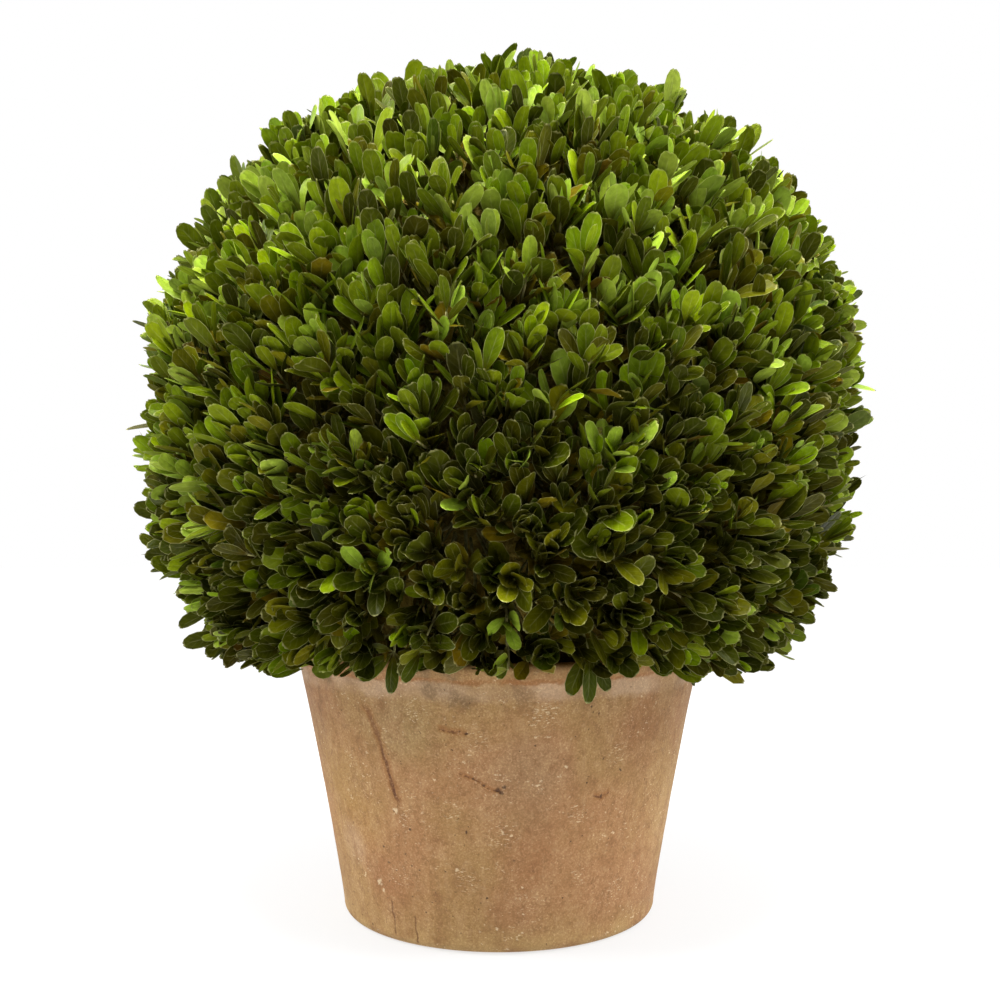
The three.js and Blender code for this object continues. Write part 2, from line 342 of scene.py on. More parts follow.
def buildPot():
    bm = turnProfile(potProfile(), pot["sides"])
    bandFoot = potHeight - pot["bandHeight"]
    for vert in bm.verts:
        x, y, z = vert.co
        around = math.atan2(y, x)
        radius = math.hypot(x, y)
        outside = radius > potRadius(z) - pot["skin"]
        # The foot stays flat on the ground and the pot stays in its box
        rise = min(z / pot["steadyFoot"], 1) * min((potHeight - z) / pot["steadyLip"], 1)
        grow = pot["outOfRound"] * rise * (math.sin(2 * around + 0.7) + 0.5 * math.sin(3 * around) - 1)
        if outside:
            grow += pot["dents"] * rise * (noise.noise(vert.co * 38) - 0.4)
            grow += 0.4 * pot["dents"] * rise * noise.noise(vert.co * 120)
        scale = (radius + grow) / radius
        near = math.exp(-(((z - bandFoot) / pot["bandReach"]) ** 2))
        drop = pot["bandWander"] * near * noise.noise(Vector((math.cos(around), math.sin(around), 0)) * 2.2)
        vert.co = Vector((x * scale, y * scale, z + (drop if outside else 0)))
    return pieceFrom(bm, "terracottaPot", clayMaterial())


def lineMask(along, across, points, width):  # 1 on a crack that runs along through the points
    middle = None
    for (across0, along0), (across1, along1) in zip(points, points[1:]):
        settings = {"interpolation_type": "LINEAR", "clamp": True}
        links = {"From Min": along0, "From Max": along1, "To Min": 0.0, "To Max": across1 - across0}
        bend = along.add("ShaderNodeMapRange", settings, {"Value": along, **links})
        middle = bend + across0 if middle is None else middle + bend
    off = (across - middle).math("ABSOLUTE")
    ends = sorted((points[0][1], points[-1][1]))
    return (1 - off.step(0.25 * width, width)) * along.between(ends[0], ends[1], 0.08 * (ends[1] - ends[0]))


def awayFrom(surface, angle, height):
    links = {0: surface, 1: (angle * pot["mmPerDegree"], height, 0)}
    return surface.add("ShaderNodeVectorMath", {"operation": "DISTANCE"}, links, "Value")


def spotMask(surface, spots):
    mask = None
    for angle, height, radius in spots:
        spot = 1 - awayFrom(surface, angle, height).step(0.35 * radius, 1.1 * radius)
        mask = spot if mask is None else mask.math("MAXIMUM", spot)
    return mask


def washOver(tone, surface, place):
    patchy = place.noise(34, 3, 0.55).step(0.3, 0.62) * 0.7 + 0.3
    for angle, height, radius, name, strength in pot["washes"]:
        share = 1 - awayFrom(surface, angle, height).step(0.25 * radius, radius)
        share = share * patchy * strength
        tone = share.mix(tone, pot[name])
    return tone


def clayMaterial():
    material, nodes, shader = newMaterial("weatheredClay", specular=0.35)
    place = nodes.add("ShaderNodeTexCoord", output=3)
    x, y, z = place.parts()
    height = z * 1000.0
    around = x.math("ARCTAN2", y * -1.0) * (180 / math.pi)
    flat = nodes.add("ShaderNodeCombineXYZ", {}, {0: around * pot["mmPerDegree"], 1: height})
    wander = place.add("ShaderNodeTexNoise", {}, {"Vector": place, "Scale": 190.0, "Detail": 3.0}, "Color")
    shift = nodes.add("ShaderNodeVectorMath", {"operation": "SUBTRACT"}, {0: wander, 1: (0.5, 0.5, 0.5)})
    links = {0: shift, 1: (4.5, 4.5, 0), 2: flat}
    surface = nodes.add("ShaderNodeVectorMath", {"operation": "MULTIPLY_ADD"}, links)
    bentAround, bentHeight, _ = surface.parts()
    bentAround = bentAround / pot["mmPerDegree"]

    broad = place.noise(20, 3, 0.5, 0.3)
    medium = place.noise(75, 5, 0.62)
    small = place.noise(260, 4, 0.65)
    grain = place.noise(1100, 3, 0.75)
    streaks = place.stretch(1, 1, 0.1).noise(210, 3, 0.6)

    strength, width = pot["strength"], pot["crackWidth"]
    tone = broad.step(0.38, 0.62).mix(pot["clay"], pot["clayRose"])
    tone = washOver(tone, surface, place)
    tone = (medium.step(0.52, 0.8) * 0.5).mix(tone, pot["clayPale"])
    tone = ((1 - medium.step(0.28, 0.5)) * 0.4).mix(tone, pot["clayDeep"])
    tone = (streaks.step(0.5, 0.7) * 0.4).mix(tone, pot["clayDeep"])
    tone = ((1 - streaks.step(0.3, 0.46)) * 0.3).mix(tone, pot["clayPale"])
    tone = (small.step(0.52, 0.68) * 0.42).mix(tone, pot["clayPale"])
    tone = ((1 - small.step(0.34, 0.48)) * 0.5).mix(tone, pot["clayDeep"])

    # A pinkish bloom below the band, partly painted light where the ledge under the band catches the light
    # from above, and darker smudges that grow towards the top of the pot, painted shade of the leaves above
    bandFoot = (potHeight - pot["bandHeight"]) * 1000
    bloom = (place.noise(40, 2).step(0.38, 0.6) * 0.7 + 0.3) * bentHeight.between(109, bandFoot - 0.8, 2.2)
    tone = (bloom * strength["bloom"]).mix(tone, pot["bloom"])
    # Painted shade of the leaves above: darker smudges that grow towards the top of the pot
    dull = place.noise(52, 4, 0.6, 0.5).step(0.54, 0.68) * bentHeight.step(98, 118) * 0.6
    ragged = place.noise(130, 4, 0.65).step(0.36, 0.58) * 0.75 + 0.25
    dull = dull.math("MAXIMUM", spotMask(surface, pot["smudges"]) * ragged)
    tone = (dull * strength["smudge"]).mix(tone, pot["smudge"])
    # A stain along the groove at the band's foot, partly painted shade under the band's step
    grooveStainAndShade = bentHeight.between(bandFoot - 1.0, bandFoot + 0.7, 0.6) * place.noise(55, 2).step(0.25, 0.55)
    tone = (grooveStainAndShade * strength["grooveStainAndShade"]).mix(tone, pot["stain"])
    # Paler towards the foot, in patches
    paleFoot = (1 - height.step(2, 14)) * place.noise(70, 3).step(0.3, 0.6)
    tone = (paleFoot * strength["paleFoot"]).mix(tone, pot["cream"])

    flecks = place.stretch(0.6, 0.6, 1).noise(700, 3, 0.65).step(0.61, 0.7)
    flecks = flecks * place.noise(46, 3).step(0.44, 0.62)
    chipped = spotMask(surface, pot["chips"]) * place.noise(650, 3, 0.6).step(0.42, 0.56)
    scratches = place.stretch(1, 1, 3.2).noise(520, 2, 0.6, 0.6).step(0.6, 0.66)
    scratches = spotMask(surface, pot["scratched"]) * scratches
    flecks = flecks.math("MAXIMUM", chipped).math("MAXIMUM", scratches)
    tone = (flecks * strength["fleck"]).mix(tone, pot["speck"])
    holes = (1 - place.noise(480, 2, 0.55).step(0.25, 0.31)) * (1 - place.noise(44, 2).step(0.42, 0.6))
    holes = holes.math("MAXIMUM", spotMask(surface, pot["pits"]))

    # The long crack fades upwards, and the hair cracks across the pot are broken lines
    crack = lineMask(height, bentAround, pot["longCrack"], width["long"])
    crack = crack * (1 - height.step(72, 104) * 0.6)
    for points in pot["shortCracks"]:
        crack = crack.math("MAXIMUM", lineMask(height, bentAround, points, width["short"]) * 0.75)
    broken = place.noise(420, 2).step(0.42, 0.58)
    crack = crack * (broken * 0.3 + 0.8)
    stained = lineMask(height, bentAround, pot["longCrack"], width["longStain"])
    for points in pot["crossCracks"]:
        turned = [(height, angle) for angle, height in points]
        thin = lineMask(around, bentHeight, turned, width["cross"]) * broken * 0.8
        crack = crack.math("MAXIMUM", thin)
        wide = lineMask(around, bentHeight, turned, width["crossStain"])
        stained = stained.math("MAXIMUM", wide)
    tone = (stained * strength["stain"]).mix(tone, pot["stain"])
    tone = (crack * strength["crack"]).mix(tone, pot["crackTone"])
    tone = (holes * strength["pit"]).mix(tone, pot["pit"])
    dust = grain.step(0.5, 0.78) * (medium.step(0.35, 0.62) * 0.7 + 0.3)
    tone = (dust * strength["dust"]).mix(tone, pot["dust"])
    tone = tone.scaled((grain - 0.5) * 0.9 + 0.91)

    relief = grain * 0.3 + small * 0.5 + medium * 0.5 + streaks * 0.15 + flecks * 0.2 - holes - crack * 0.9
    plug(
        shader,
        Base_Color=tone,
        Roughness=0.84 - medium * 0.12,
        Normal=bump(relief, 0.6, 0.6 * mm),
    )
    return material


# The soil
soil = {
    "gap": 0.3 * mm,
    "edgeHeight": 104 * mm,  # where its surface meets the pot
    "sideFrom": 26 * mm,
    "sideRows": 12,
    "flatRadius": 20 * mm,
    "rough": 1.3 * mm,
    "smoothEdge": 4 * mm,
    "sides": 120,
    "rings": 30,
    "clods": 420,
    "clodSize": (1.1 * mm, 3.4 * mm),
    "clodsFrom": 18 * mm,
    "clodMargin": 4 * mm,
    "clodSink": 0.4 * mm,
    "clodRough": 0.3,
    "seed": 5,
    "dark": colour(48, 35, 25),
    "light": colour(104, 80, 58),
}


def soilRadius(height):
    return potRadius(height) - pot["wall"] - soil["gap"]


def soilHeight(radius):
    flat, low = soil["flatRadius"], soil["edgeHeight"]
    top = stemBox[0].z - soil["gap"]
    outwards = min(max((radius - flat) / (soilRadius(low) - flat), 0), 1)
    return low + (top - low) * math.cos(outwards * math.pi / 2)


def buildSoil():
    edge = soilRadius(soil["edgeHeight"])
    bottom = soilBox[0].z
    fillet = pot["innerRound"]
    points = [(0.0, bottom)]
    points += arcPoints(soilRadius(pot["floor"] + fillet) - fillet, bottom + fillet, fillet, -90, 0, 5)
    points += [
        (soilRadius(z), z) for z in np.linspace(soil["sideFrom"], soil["edgeHeight"], soil["sideRows"])
    ]
    points += [(r, soilHeight(r)) for r in np.linspace(edge, 0, soil["rings"])[1:]]
    bm = turnProfile(points, soil["sides"])
    for vert in bm.verts:
        radius = vert.co.xy.length
        if vert.co.z > soil["edgeHeight"] + 0.2 * mm:
            fade = min(max((edge - radius) / soil["smoothEdge"], 0), 1)
            fade *= min(radius / soil["flatRadius"], 1) ** 2
            lumps = noise.fractal(vert.co * 90, 0.8, 2.0, 4)
            vert.co.z += soil["rough"] * fade * (lumps - 0.4)
    return pieceFrom(bm, "pottingSoil", soilMaterial("pottingMix"))


def buildClods():
    rng = np.random.default_rng(soil["seed"])
    bm = bmesh.new()
    bmesh.ops.create_icosphere(bm, subdivisions=1, radius=1)
    clod = templateOf(bm)
    count = soil["clods"]
    edge = potRadius(soil["edgeHeight"]) - pot["wall"] - soil["clodMargin"]
    radius = soil["clodsFrom"] + (edge - soil["clodsFrom"]) * np.sqrt(rng.random(count))
    around = rng.random(count) * 2 * math.pi
    smallest, largest = soil["clodSize"]
    size = smallest + (largest - smallest) * rng.random(count) ** 2
    height = np.array([soilHeight(r) for r in radius]) - soil["clodSink"]
    centre = np.stack([radius * np.cos(around), radius * np.sin(around), height], 1)
    rough = soil["clodRough"] * rng.standard_normal((count, len(clod["coords"]), 1))
    shape = clod["coords"][None] * (1 + rough)
    squash = np.stack([size, size * (0.6 + 0.4 * rng.random(count)), size * 0.6], 1)
    places = shape * squash[:, None] + centre[:, None]
    return joinCopies("soilClods", clod, places, soilMaterial("soilCrumbs"))


def soilMaterial(name):
    material, nodes, shader = newMaterial(name, specular=0.2)
    place = nodes.add("ShaderNodeTexCoord", output=3)
    crumbs = place.noise(380, 5, 0.65)
    damp = place.noise(45, 2)
    tone = crumbs.step(0.4, 0.72).mix(soil["dark"], soil["light"])
    tone = (damp.step(0.4, 0.6) * 0.5).mix(tone, soil["dark"])
    plug(shader, Base_Color=tone, Roughness=1.0 - damp * 0.15, Normal=bump(crumbs, 0.8, 1.2 * mm))
    return material


# The ball: where its boughs, twigs and leaves may be
ball = {
    "centre": np.array([0, 0, 225.3]) * mm,
    "radius": 165.2 * mm,  # where most leaf tips are clipped
    "bulges": [  # the clipping isn't true: way, height and how narrow
        ((0.9, -0.1, 0.4), 7.0 * mm, 12.0),
        ((0.5, 0.0, 0.86), 5.0 * mm, 10.0),
        ((-0.97, -0.2, -0.02), -2.0 * mm, 22.0),
        ((0.1, 0.95, 0.3), 3.5 * mm, 7.0),
        ((-0.5, 0.8, 0.5), -2.5 * mm, 8.0),
    ],
    "belly": 3.5 * mm,  # extra width a little below the middle
    "bellyHeight": -0.36,
    "bellySpread": 0.26,
    "focusDrop": 50 * mm,  # the twigs spread from a point this far below the middle
    "lumps": 1.2 * mm,
    "lumpWaves": (3, 9),
    "rough": 2.1 * mm,
    "strays": 0.2,
    "strayLength": 9 * mm,
    "rimClear": 1.2 * mm,
    "boxMargin": 0.3 * mm,
    "lowest": 114.5 * mm,
    "lowestInFront": 124.5 * mm,  # the front is brushed up and shows the pot's band
    "raggedHem": 1.8 * mm,
}


def patches(directions, rng, waves=24, fineness=(7, 18)):  # soft chance patches, about -1 to 1
    ways = unit(rng.standard_normal((waves, 3))) * rng.uniform(*fineness, (waves, 1))
    phases = rng.random(waves) * 2 * math.pi
    return np.sin(directions @ ways.T + phases).sum(1) / math.sqrt(waves / 2)


def clipRadius(directions, rng):  # the shears leave an uneven surface, with some strays
    count = len(directions)
    uneven = ball["lumps"] * patches(directions, rng, 16, ball["lumpWaves"])
    fromBelly = (directions[:, 2] - ball["bellyHeight"]) / ball["bellySpread"]
    uneven += ball["belly"] * np.exp(-(fromBelly**2))
    for way, height, narrow in ball["bulges"]:
        uneven += height * np.exp(narrow * (directions @ unit(np.array(way)) - 1))
    uneven += ball["rough"] * rng.standard_normal(count)
    stray = rng.random(count) < ball["strays"]
    return ball["radius"] + uneven + stray * ball["strayLength"] * rng.random(count)


def hasRoom(points):  # points is copies x points x 3
    inside = (points > np.array(ballBox[0]) + ball["boxMargin"]).all(axis=2)
    inside &= (points < np.array(ballBox[1]) - ball["boxMargin"]).all(axis=2)
    height = points[..., 2]
    side = np.hypot(points[..., 0], points[..., 1])
    overPot = height > potHeight + ball["rimClear"]
    beside = side > pot["rimRadius"] + pot["bandProud"] + ball["rimClear"]
    return (inside & (overPot | beside)).all(axis=1)


def overTheBand(points, rng):
    tips = points[:, :, 2].min(axis=1)
    middle = points.mean(axis=1)
    front = np.clip(-middle[:, 1] / np.hypot(middle[:, 0], middle[:, 1]), 0, 1) ** 3
    lowest = ball["lowest"] + (ball["lowestInFront"] - ball["lowest"]) * front
    return tips > lowest + ball["raggedHem"] * rng.standard_normal(len(tips))


def unit(vectors):
    return vectors / np.linalg.norm(vectors, axis=-1, keepdims=True)


def spiral(count, lowest):  # even directions, from straight up down to the lowest
    step = np.arange(count)
    height = 1 - (1 - lowest) * (step + 0.5) / count
    level = np.sqrt(1 - height**2)
    around = step * math.pi * (3 - math.sqrt(5))
    return np.stack([level * np.cos(around), level * np.sin(around), height], 1)


# Wood: the stem, the boughs in two orders, and the twigs
wood = {
    "stemTop": 172 * mm,
    "stemTopRadius": 7.5 * mm,
    "stemFootRadius": 9.5 * mm,
    "flare": 5.5 * mm,
    "flareHeight": 9 * mm,
    "buttresses": 4,
    "buttressDepth": 1.6 * mm,
    "lean": (5 * mm, -3 * mm),
    "barkRelief": 0.7 * mm,
    "stemSides": 64,
    "stemRings": 60,
    "boughs": 15,
    "boughsDown": -0.62,  # how far down the lowest bough points
    "boughReach": 66 * mm,
    "boughJitter": 4 * mm,
    "boughArch": 12 * mm,
    "boughCrook": 2.5 * mm,
    "boughRadius": (4.6 * mm, 2.9 * mm),
    "rootedFrom": 0.62,  # shares of the stem between which the boughs grow
    "rootedSpan": 0.36,
    "branches": 130,
    "branchesDown": -0.66,
    "branchReach": 110 * mm,
    "branchJitter": 3 * mm,
    "branchSway": 5 * mm,
    "branchCrook": 1.6 * mm,
    "branchRadius": (2.6 * mm, 1.3 * mm),
    "lowestBranch": 136 * mm,
    "bark": colour(120, 104, 82),
    "barkDark": colour(66, 54, 42),
    "barkPale": colour(164, 148, 120),
    "shoot": colour(122, 122, 62),
    "shootPale": colour(168, 158, 104),
}


def stemAxis(share):
    lean = np.array(wood["lean"])
    return np.array([*(lean * share**2), stemBox[0].z + (wood["stemTop"] - stemBox[0].z) * share])


def ringedTube(sides, rings):  # closed, of radius 1, from 0 to 1 in height
    bm = bmesh.new()
    bmesh.ops.create_cone(
        bm, cap_ends=True, cap_tris=False, segments=sides, radius1=1, radius2=1, depth=1
    )
    uprights = [e for e in bm.edges if abs(e.verts[0].co.z - e.verts[1].co.z) > 0.5]
    bmesh.ops.subdivide_edges(bm, edges=uprights, cuts=rings, use_grid_fill=True)
    bmesh.ops.translate(bm, verts=bm.verts, vec=(0, 0, 0.5))
    return bm


def buildStem():
    bm = ringedTube(wood["stemSides"], wood["stemRings"])
    length = wood["stemTop"] - stemBox[0].z
    for vert in bm.verts:
        share = vert.co.z
        around = math.atan2(vert.co.y, vert.co.x)
        fade = math.exp(-share * length / wood["flareHeight"])
        taper = wood["stemFootRadius"] + (wood["stemTopRadius"] - wood["stemFootRadius"]) * share
        buttress = wood["buttressDepth"] * math.cos(wood["buttresses"] * around)
        radius = taper + (wood["flare"] + buttress) * fade
        turn = Vector((math.cos(around), math.sin(around), 0))
        ridges = noise.fractal(Vector((turn.x * 7, turn.y * 7, share * 5)), 0.7, 2.2, 4)
        radius += wood["barkRelief"] * (abs(ridges) - 0.9)
        axis = stemAxis(share)
        vert.co = Vector((axis[0] + turn.x * radius, axis[1] + turn.y * radius, axis[2]))
    bmesh.ops.recalc_face_normals(bm, faces=bm.faces)
    return pieceFrom(bm, "stemWithBark", barkMaterial())


def curvePoints(start, middle, end, share):  # quadratic curves, share is 0 to 1 along each
    share = share[None, :, None]
    a, b, c = start[:, None], middle[:, None], end[:, None]
    return (1 - share) ** 2 * a + 2 * share * (1 - share) * b + share**2 * c


def tubePlaces(template, start, middle, end, radii, crook=0.0, seed=0):  # crook bends it to and fro
    coords = template["coords"]
    share = coords[:, 2]
    path = curvePoints(start, middle, end, share)
    ahead = curvePoints(start, middle, end, np.minimum(share + 0.02, 1.0))
    behind = curvePoints(start, middle, end, np.maximum(share - 0.02, 0.0))
    along = unit(ahead - behind)
    helper = np.where(np.abs(along[..., 2:]) > 0.9, (1.0, 0, 0), (0, 0, 1.0))
    side = unit(np.cross(along, helper))
    other = np.cross(along, side)
    first, last = radii
    radius = first + (last - first) * share[None]
    around = side * coords[None, :, :1] + other * coords[None, :, 1:2]
    if crook:
        rng = np.random.default_rng(seed)
        phase = rng.random((len(start), 1)) * 6.3
        sway = np.sin(share[None] * 9 + phase) * np.sin(share[None] * math.pi)
        path = path + side * (crook * sway)[..., None]
    return path + around * radius[..., None]


def barkMaterial(name="boxBark"):
    material, nodes, shader = newMaterial(name, specular=0.3)
    place = nodes.add("ShaderNodeTexCoord", output=3)
    plates = place.stretch(1, 1, 0.35).noise(420, 5, 0.65)
    lichen = place.noise(90, 3)
    tone = plates.step(0.38, 0.66).mix(wood["barkDark"], wood["bark"])
    tone = (lichen.step(0.52, 0.7) * 0.6).mix(tone, wood["barkPale"])
    plug(shader, Base_Color=tone, Roughness=0.95 - plates * 0.15, Normal=bump(plates, 0.7, 0.5 * mm))
    return material


def shootMaterial():
    material, nodes, shader = newMaterial("youngShoots", specular=0.4)
    place = nodes.add("ShaderNodeTexCoord", output=3)
    blotches = place.noise(160, 2)
    tone = blotches.step(0.35, 0.65).mix(wood["shoot"], wood["shootPale"])
    plug(shader, Base_Color=tone, Roughness=0.75 - blotches * 0.2)
    return material


def growBoughs():
    rng = np.random.default_rng(3)
    template = templateOf(ringedTube(8, 7))
    spread = spiral(wood["boughs"], wood["boughsDown"])
    tips = ball["centre"] + spread * wood["boughReach"]
    tips += wood["boughJitter"] * rng.standard_normal(tips.shape)
    rooted = wood["rootedFrom"] + wood["rootedSpan"] * np.linspace(1, 0, len(tips))
    starts = np.array([stemAxis(share) for share in rooted])
    middles = starts * 0.5 + tips * 0.5 + np.array([0, 0, 1]) * wood["boughArch"]
    first, last = wood["boughRadius"]
    first = np.full((len(tips), 1), first)
    first[0] = wood["stemTopRadius"] * 0.8  # the topmost bough carries the stem on
    places = tubePlaces(template, starts, middles, tips, (first, last), wood["boughCrook"], 1)
    bark = barkMaterial("boughBark")
    stands(joinCopies("mainBoughs", template, places, bark), "foliage_ball")

    out = spiral(wood["branches"], wood["branchesDown"])
    ends = ball["centre"] + out * wood["branchReach"]
    ends += wood["branchJitter"] * rng.standard_normal(ends.shape)
    ends[:, 2] = np.maximum(ends[:, 2], wood["lowestBranch"])
    nearest = np.argmin(np.linalg.norm(ends[:, None] - tips[None], axis=2), axis=1)
    roots = tips[nearest]
    bends = roots * 0.45 + ends * 0.55 + wood["branchSway"] * rng.standard_normal(ends.shape)
    places = tubePlaces(template, roots, bends, ends, wood["branchRadius"], wood["branchCrook"], 2)
    stands(joinCopies("sideBranches", template, places, bark), "foliage_ball")
    return ends


# Sprigs: each is a twig that carries pairs of leaves, crossed one above the other
sprig = {
    "count": 2450,
    "lowest": -0.735,
    "seed": 21,
    "tipDepth": 16 * mm,  # the twig's end below the clipped surface
    "leastFacing": 0.6,
    "siteJitter": 0.036,
    "wayJitter": 0.1,
    "waySway": 0.08,  # neighbouring twigs lean the same way
    "rise": 0.42,  # how far the twigs turn up, from the height where they begin to
    "riseFrom": (-0.4, 0.05),
    "straight": 19.2 * mm,  # the length at the end that points straight along the twig's way
    "radius": (0.85 * mm, 0.42 * mm),
    "pairDepth": np.array([0.5, 4.2, 8.6, 13.8, 20.0]) * mm,  # of each pair below the twig's end
    "pairJitter": 0.15,
    "pairAngle": np.array([0.3, 0.48, 0.58, 0.66, 0.8]),  # from the twig, in radians
    "turnJitter": 0.25,
    "openness": 0.22,  # some sprigs spread their leaves much wider than others
    "pairLength": np.array([15.0, 18.8, 20.0, 19.0, 18.0]) * mm,
    "oldPairs": 3,  # pairs from this one down are old and dull
    "lowClosed": 0.5,  # low sprigs are this much less open, and show their leaves end on
    "closedFrom": 0.1,
    "closedSpan": 0.4,
    "angleSpread": 0.24,
    "widest": 1.4,  # the most that a leaf leans away from its twig
    "missing": 0.09,  # share of the leaves that have fallen or been clipped off
    "lengthSpread": 0.12,
}

leaf = {
    "rows": np.array([0.0, 0.1, 0.27, 0.46, 0.65, 0.83, 0.945, 1.0]),
    "widths": np.array([0.05, 0.14, 0.52, 0.85, 1.0, 0.91, 0.6, 0.18]),
    "plainRows": np.array([0.0, 0.14, 0.46, 0.83, 1.0]),
    "widthShare": (0.16, 0.215),  # half the width over the length
    "notch": 0.018,
    "cup": (-0.4, 0.22),  # how far the blade's halves rise (-) or bend down (+) from the midrib
    "curl": (-0.12, 0.16),  # how far the tip rises (-) or bends down (+)
    "twist": 0.3,
    "roll": 0.28,
    "thick": 0.34 * mm,
    "upTurn": 0.3,
    "faceUp": 0.35,
    "shadedPatch": ((0.05, -0.95, -0.3), 0.45, 4.5),  # painted shade: darker tints dealt in the middle of the front; way, strength and how narrow
    "oddOnes": 0.35,  # share of the leaves that don't match their sprig
    # the colour of painted shade at the leaf's base
    "baseShadeTone": colour(94, 74, 4),
    # the pale of veins, midrib, stalk and rim, whitish because it also gives the rim's painted highlight
    "paleTone": colour(202, 198, 136),
    "paleShare": 0.6,
    "strength": {"vein": 0.04, "midrib": 0.16, "rim": 0.6, "base": 0.55, "stalk": 0.5},
    "brightness": (0.6, 0.66),  # the least, and how much chance adds
    "sheen": 0.075,
    "tileMargin": 0.07,
    "columns": 8,
    "tileRows": 4,
}


def leafTemplate(heights):
    bm = bmesh.new()
    rows = len(heights)
    bmesh.ops.create_grid(bm, x_segments=2, y_segments=rows - 1, size=1)
    for vert in bm.verts:
        row = round((vert.co.y + 1) / 2 * (rows - 1))
        notch = leaf["notch"] if row == rows - 1 and abs(vert.co.x) < 0.5 else 0
        vert.co = Vector((vert.co.x, heights[row] - notch, 0))
    for edge in bm.edges:
        edge.smooth = not edge.is_boundary
    under = bmesh.ops.duplicate(bm, geom=bm.verts[:] + bm.edges[:] + bm.faces[:])["geom"]
    for part in under:
        if isinstance(part, bmesh.types.BMFace):
            part.material_index = 1
            part.normal_flip()
        elif isinstance(part, bmesh.types.BMVert) and not part.is_boundary:
            part.co.z = -1
    bmesh.ops.remove_doubles(bm, verts=bm.verts, dist=1e-4)
    return templateOf(bm)


def leafCorners(template, copies, rng):  # where each corner reads the leaf's pattern
    corners = np.concatenate(template["faces"])
    sizes = [len(face) for face in template["faces"]]
    upper = np.repeat(template["upper"], sizes)
    across = template["coords"][corners, 0]
    along = template["coords"][corners, 1]
    margin = leaf["tileMargin"]
    column = rng.integers(0, leaf["columns"], copies)[:, None]
    pick = rng.integers(0, 2, copies)[:, None]
    row = np.where(upper[None], pick, pick + 2)
    u = (column + 0.5 + across[None] * (0.5 - margin)) / leaf["columns"]
    v = (row + margin + along[None] * (1 - 2 * margin)) / leaf["tileRows"]
    return np.stack([u, v], 2)


def leafPlaces(template, roots, ways, faces, lengths, rng):
    coords = template["coords"]
    copies = len(roots)

    def spreadOver(low, high):
        return (low + (high - low) * rng.random(copies))[:, None]

    across, along, under = coords[:, 0][None], coords[:, 1][None], coords[:, 2][None]
    outline = np.interp(coords[:, 1], leaf["rows"], leaf["widths"])[None]
    length = lengths[:, None]
    halfWidth = length * spreadOver(*leaf["widthShare"])
    x = across * outline * halfWidth
    y = along * length
    z = -np.abs(x) * spreadOver(*leaf["cup"])
    z = z - spreadOver(*leaf["curl"]) * length * along**2
    z = z + leaf["thick"] * (under + 0.5) * (np.abs(across) < 0.5) * np.sin(math.pi * along)
    turn = leaf["twist"] * rng.standard_normal((copies, 1)) * along
    x, z = x * np.cos(turn) - z * np.sin(turn), x * np.sin(turn) + z * np.cos(turn)
    sides = np.cross(ways, faces)
    return (
        roots[:, None]
        + x[..., None] * sides[:, None]
        + y[..., None] * ways[:, None]
        + z[..., None] * faces[:, None]
    )


hangingArch = 6 * mm
hanging = [  # the twig's end in mm, then each leaf's way and length in mm
    (
        (35, -109, 132),
        [
            ((-0.5, -0.2, -1), 19.5), ((0.02, -0.25, -1), 21.0), ((0.5, -0.1, -0.9), 18.0),
            ((0.2, 0.0, -1), 15.0),
        ],
    ),
    (
        (-41, -107, 131),
        [
            ((-0.8, -0.2, -0.6), 17.5), ((-0.15, -0.25, -1), 16.5), ((0.5, -0.2, -0.8), 13.0),
            ((-0.6, -0.4, 0.2), 13.0),
        ],
    ),
    ((76, -80, 128), [((0.3, -0.15, -0.9), 15.0)]),
    ((3, -112, 134), [((-0.2, -0.2, -0.9), 13.5)]),
]

# Painted light and shade: the pale springGreen, dealt mostly high, stands partly for light and highlights
# on top, and the dark greens and olives, dealt mostly low, for the shade below
tints = {  # upper side, underside, and shares low, halfway up and high on the ball
    "springGreen": (colour(138, 160, 44), colour(141, 160, 52), (0.045, 0.145, 0.25)),
    "freshGreen": (colour(112, 133, 2), colour(116, 133, 8), (0.08, 0.3, 0.37)),
    "leafGreen": (colour(92, 107, 2), colour(95, 107, 4), (0.11, 0.29, 0.3)),
    "deepGreen": (colour(60, 66, 1), colour(63, 68, 2), (0.46, 0.14, 0.06)),
    "oliveGreen": (colour(90, 90, 2), colour(93, 91, 2), (0.11, 0.09, 0.02)),
    "darkOlive": (colour(63, 62, 1), colour(66, 65, 2), (0.21, 0.03, 0.01)),
    "greyGreen": (colour(72, 90, 16), colour(92, 106, 42), (0.006, 0.008, 0.008)),
}

oldTints = {  # of the inner leaves
    "oldGreen": (colour(100, 99, 5), colour(102, 100, 8), (0.5, 0.62, 0.75)),
    "oldOlive": (colour(107, 92, 5), colour(107, 93, 8), (0.4, 0.3, 0.22)),
    "oldBrown": (colour(100, 78, 6), colour(102, 80, 10), (0.1, 0.06, 0.03)),
}

dealing = {  # how the leaves get their tints
    "jitter": 0.12,
    "highFrom": 0.16,  # heights on the ball, -1 to 1, and how far the change takes
    "highSpan": 0.6,
    "lowFrom": -0.14,
    "lowSpan": 0.38,
    "clumping": 0.25,  # neighbours share a tint more often than chance
    "clumps": (14, 30),
}


